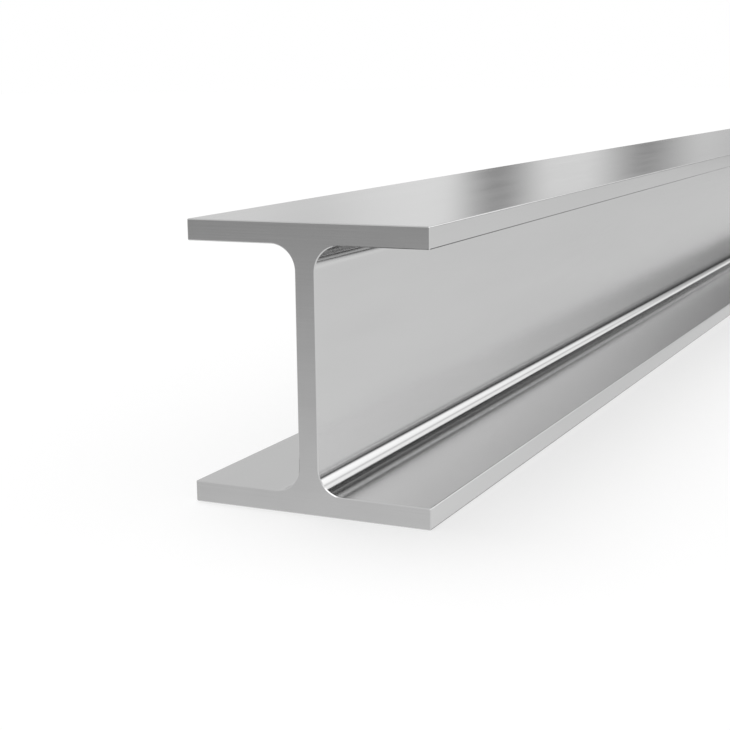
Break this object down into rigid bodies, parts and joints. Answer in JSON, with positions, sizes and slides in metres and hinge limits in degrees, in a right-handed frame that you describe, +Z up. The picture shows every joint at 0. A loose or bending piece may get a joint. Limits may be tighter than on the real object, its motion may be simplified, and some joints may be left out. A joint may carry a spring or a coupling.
{
  "type": "stainless steel h-beam",
  "caption": "Straight length of stainless steel H-section with parallel flanges, upright web, rounded roots and square sawn ends, for beams, columns and frames.",
  "frame": {"origin": "middle of the underside of the lower flange, halfway along the length, on the surface the beam lies on", "axes": "+X across the flanges, +Y along the beam from the end nearest the camera to the far end, +Z up along the web"},
  "size_m": [0.18, 3, 0.2],
  "materials": {
    "satin_stainless": "satin"
  },
  "bodies": {
    "root": {"h_beam": "satin_stainless"}
  },
  "joints": []
}
